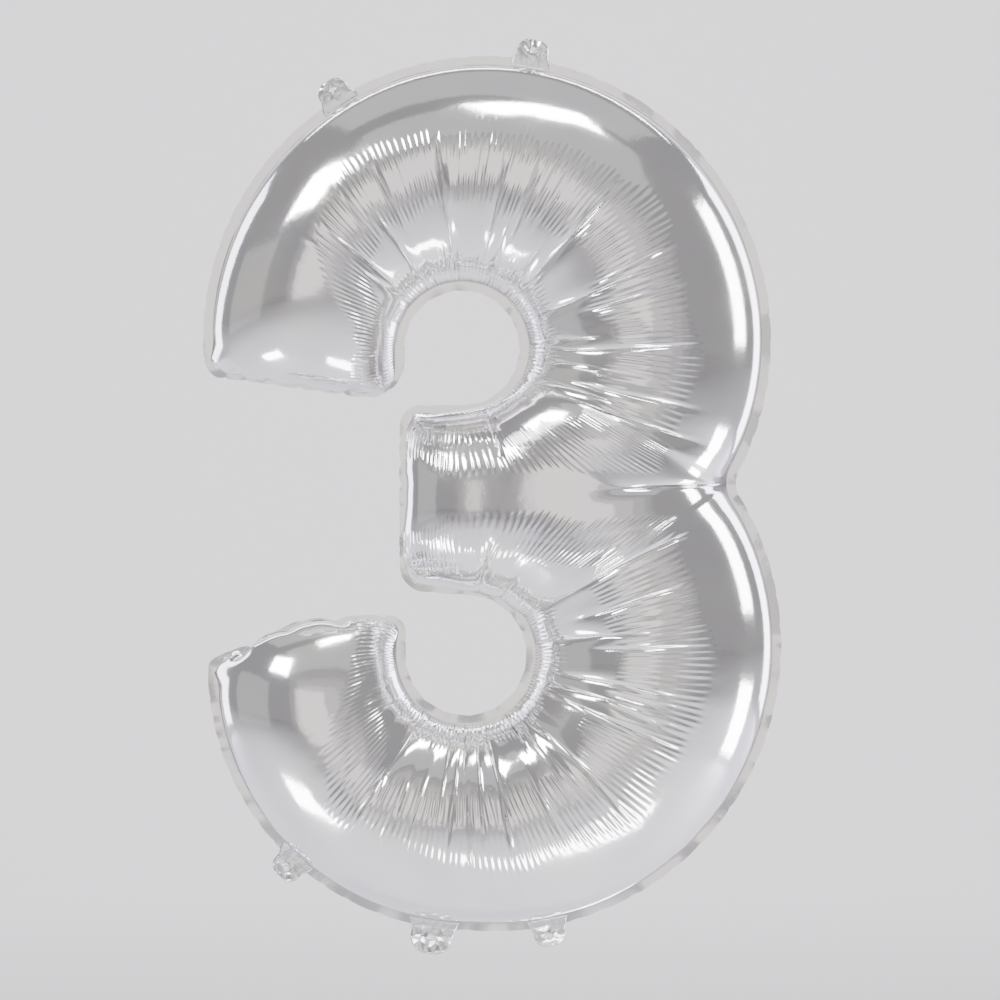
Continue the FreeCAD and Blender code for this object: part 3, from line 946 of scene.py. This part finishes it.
def tab_finish():
    """The same film, unstretched: duller, with small crumples."""
    made, tree, shader = material("tab_film")
    where = add(tree, "ShaderNodeTexCoord")
    crumple = add(tree, "ShaderNodeTexVoronoi", inputs={"Scale": 170.0, "Randomness": 1.0},
                  links={"Vector": where.outputs["Object"]})
    grain = add(tree, "ShaderNodeTexNoise", inputs={"Scale": 420.0, "Detail": 3.0},
                links={"Vector": where.outputs["Object"]})
    low = add(tree, "ShaderNodeBump", inputs={"Strength": 0.35, "Distance": 0.0008},
              links={"Height": crumple.outputs["Distance"]})
    high = add(tree, "ShaderNodeBump", inputs={"Strength": 0.25, "Distance": 0.0005},
               links={"Height": grain.outputs["Fac"], "Normal": low.outputs["Normal"]})
    tree.links.new(high.outputs["Normal"], shader.inputs["Normal"])
    tree.links.new(ramp(tree, grain.outputs["Fac"], [(0.3, "#d9d8df"), (0.7, "#efeeee")]),
                   shader.inputs["Base Color"])
    shader.inputs["Metallic"].default_value = 1.0
    shader.inputs["Roughness"].default_value = 0.2
    return made


tab_film = tab_finish()
for name, given in TABS.items():
    film_tab(name, *given).data.materials.append(tab_film)

# ---------------------------------------------------------------- valve films
# Two clear strips welded between the walls at the tail. Gas passes in between them and then
# presses them shut. They are flat, so the drawn solids serve, with a clear film finish.

made, tree, shader = material("clear_valve_film")
where = add(tree, "ShaderNodeTexCoord")
haze = add(tree, "ShaderNodeTexNoise", inputs={"Scale": 90.0, "Detail": 4.0},
           links={"Vector": where.outputs["Object"]})
ripple = add(tree, "ShaderNodeBump", inputs={"Strength": 0.3, "Distance": 0.0005},
             links={"Height": haze.outputs["Fac"]})
tree.links.new(ripple.outputs["Normal"], shader.inputs["Normal"])
tree.links.new(ramp(tree, haze.outputs["Fac"], [(0.3, 0.18), (0.7, 0.35)]), shader.inputs["Roughness"])
shader.inputs["Base Color"].default_value = linear("#eef1f3")
shader.inputs["Transmission Weight"].default_value = 0.85
for name in ("valve_front_film", "valve_back_film"):
    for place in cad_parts[name].material_slots:
        place.material = made

# ---------------------------------------------------------------- floor, lights and camera
# The balloon floats over a pale floor that sweeps up behind it, among large soft lights. Its walls
# are mirrors, so the lights' places and sizes decide where each highlight falls on them.

FLOOR_GAP = 0.35
FLOOR_HALF = 11.0
SWEEP_AT = 9.0
SWEEP_HEIGHT = 9.0
lowest = cad_box[0][2]
floor_middle = (0, SWEEP_AT - FLOOR_HALF, lowest - FLOOR_GAP)
bpy.ops.mesh.primitive_plane_add(size=2 * FLOOR_HALF, location=floor_middle)
floor = bpy.context.object
floor.name = "floor"
bpy.ops.object.mode_set(mode="EDIT")
bpy.ops.mesh.select_mode(type="EDGE")
bpy.ops.mesh.select_all(action="DESELECT")
bpy.ops.object.mode_set(mode="OBJECT")
for edge in floor.data.edges:
    edge.select = all(floor.data.vertices[v].co.y > FLOOR_HALF - 0.01 for v in edge.vertices)
bpy.ops.object.mode_set(mode="EDIT")
bpy.ops.mesh.extrude_region_move(TRANSFORM_OT_translate={"value": (0, 0, SWEEP_HEIGHT)})
bpy.ops.object.mode_set(mode="OBJECT")
bend = floor.modifiers.new("bend", "BEVEL")
bend.width = 2.5
bend.segments = 16
bend.limit_method = "ANGLE"
bpy.ops.object.modifier_apply(modifier="bend")
bpy.ops.object.shade_smooth()
bpy.ops.object.select_all(action="DESELECT")
made, tree, shader = material("pale_floor")
where = add(tree, "ShaderNodeTexCoord")
grain = add(tree, "ShaderNodeTexNoise", inputs={"Scale": 30.0, "Detail": 3.0},
            links={"Vector": where.outputs["Object"]})
tree.links.new(ramp(tree, grain.outputs["Fac"], [(0.0, "#dedde2"), (1.0, "#e2e1e5")]),
               shader.inputs["Base Color"])
shader.inputs["Roughness"].default_value = 0.8
floor.data.materials.append(made)

middle = (-0.03135, 0.0, -0.4279)


def soft_light(name, place, size, power, colour, aim=middle):
    """A large soft light that faces a point."""
    made = bpy.data.lights.new(name, "AREA")
    made.shape = "RECTANGLE"
    made.size, made.size_y = size
    made.energy = power
    made.color = linear(colour)[:3]
    lamp = bpy.data.objects.new(name, made)
    lamp.location = place
    lamp.rotation_euler = (Vector(aim) - Vector(place)).to_track_quat("-Z", "Y").to_euler()
    bpy.context.scene.collection.objects.link(lamp)


soft_light("left_light", (-1.5, -1.42, 0.98), (0.75, 0.6), 34.0, "#ffffff")
soft_light("top_light", (0.35, -0.9, 1.75), (1.2, 0.45), 34.0, "#ffffff")
soft_light("right_light", (2.25, 0.1, 0.4), (0.7, 1.45), 47.0, "#fdfcff")
soft_light("low_right_light", (1.25, 0.0, -0.98), (0.42, 0.4), 9.0, "#fdfcff")
soft_light("low_left_light", (-0.78, -0.56, lowest - FLOOR_GAP + 0.04), (0.3, 0.24), 3.4, "#ffffff")
soft_light("low_front_light", (0.24, -0.55, lowest - FLOOR_GAP + 0.04), (0.5, 0.16), 3.0, "#ffffff")
soft_light("left_back_light", (-2.1, 1.2, 0.0), (0.9, 2.2), 36.0, "#f0edff")
soft_light("right_back_light", (1.8, 1.6, 0.0), (0.9, 2.2), 50.0, "#efecff")
FRONT_FILLS = [(-1.0, 3.4, 21.0), (0.0, 4.6, 14.0), (0.4, 6.4, 19.0), (0.4, 8.4, 25.0)]
for number, (x, width, power) in enumerate(FRONT_FILLS):
    soft_light(f"front_fill_{number}", (x, -6.3 - 0.1 * number, 0.5), (width, 0.9 * width), power, "#fffaf4")

soft_light("upper_fill", (0.2, -2.2, 2.4), (4.5, 1.8), 9.0, "#ffffff")
soft_light("left_fill", (-4.0, -1.3, -0.4), (3.0, 3.4), 8.0, "#fffdf8")
soft_light("overhead_light", (0.0, 0.6, 3.2), (5.0, 3.0), 17.0, "#ffffff")
soft_light("backdrop_light", (0.0, 5.5, 5.0), (9.0, 1.2), 800.0, "#ffffff", (0.0, 9.0, -0.3))

world = bpy.data.worlds.new("studio")
world.use_nodes = True
world.node_tree.nodes["Background"].inputs["Color"].default_value = linear("#cbc9ca")
world.node_tree.nodes["Background"].inputs["Strength"].default_value = 0.7
bpy.context.scene.world = world

lens = bpy.data.cameras.new("camera")
lens.sensor_width = 36.0
lens.lens = 227.4
lens.clip_end = 60.0
camera = bpy.data.objects.new("camera", lens)
camera.location = (middle[0], -6.0, middle[2])
camera.rotation_euler = (math.radians(90), 0, 0)
bpy.context.scene.collection.objects.link(camera)
bpy.context.scene.camera = camera
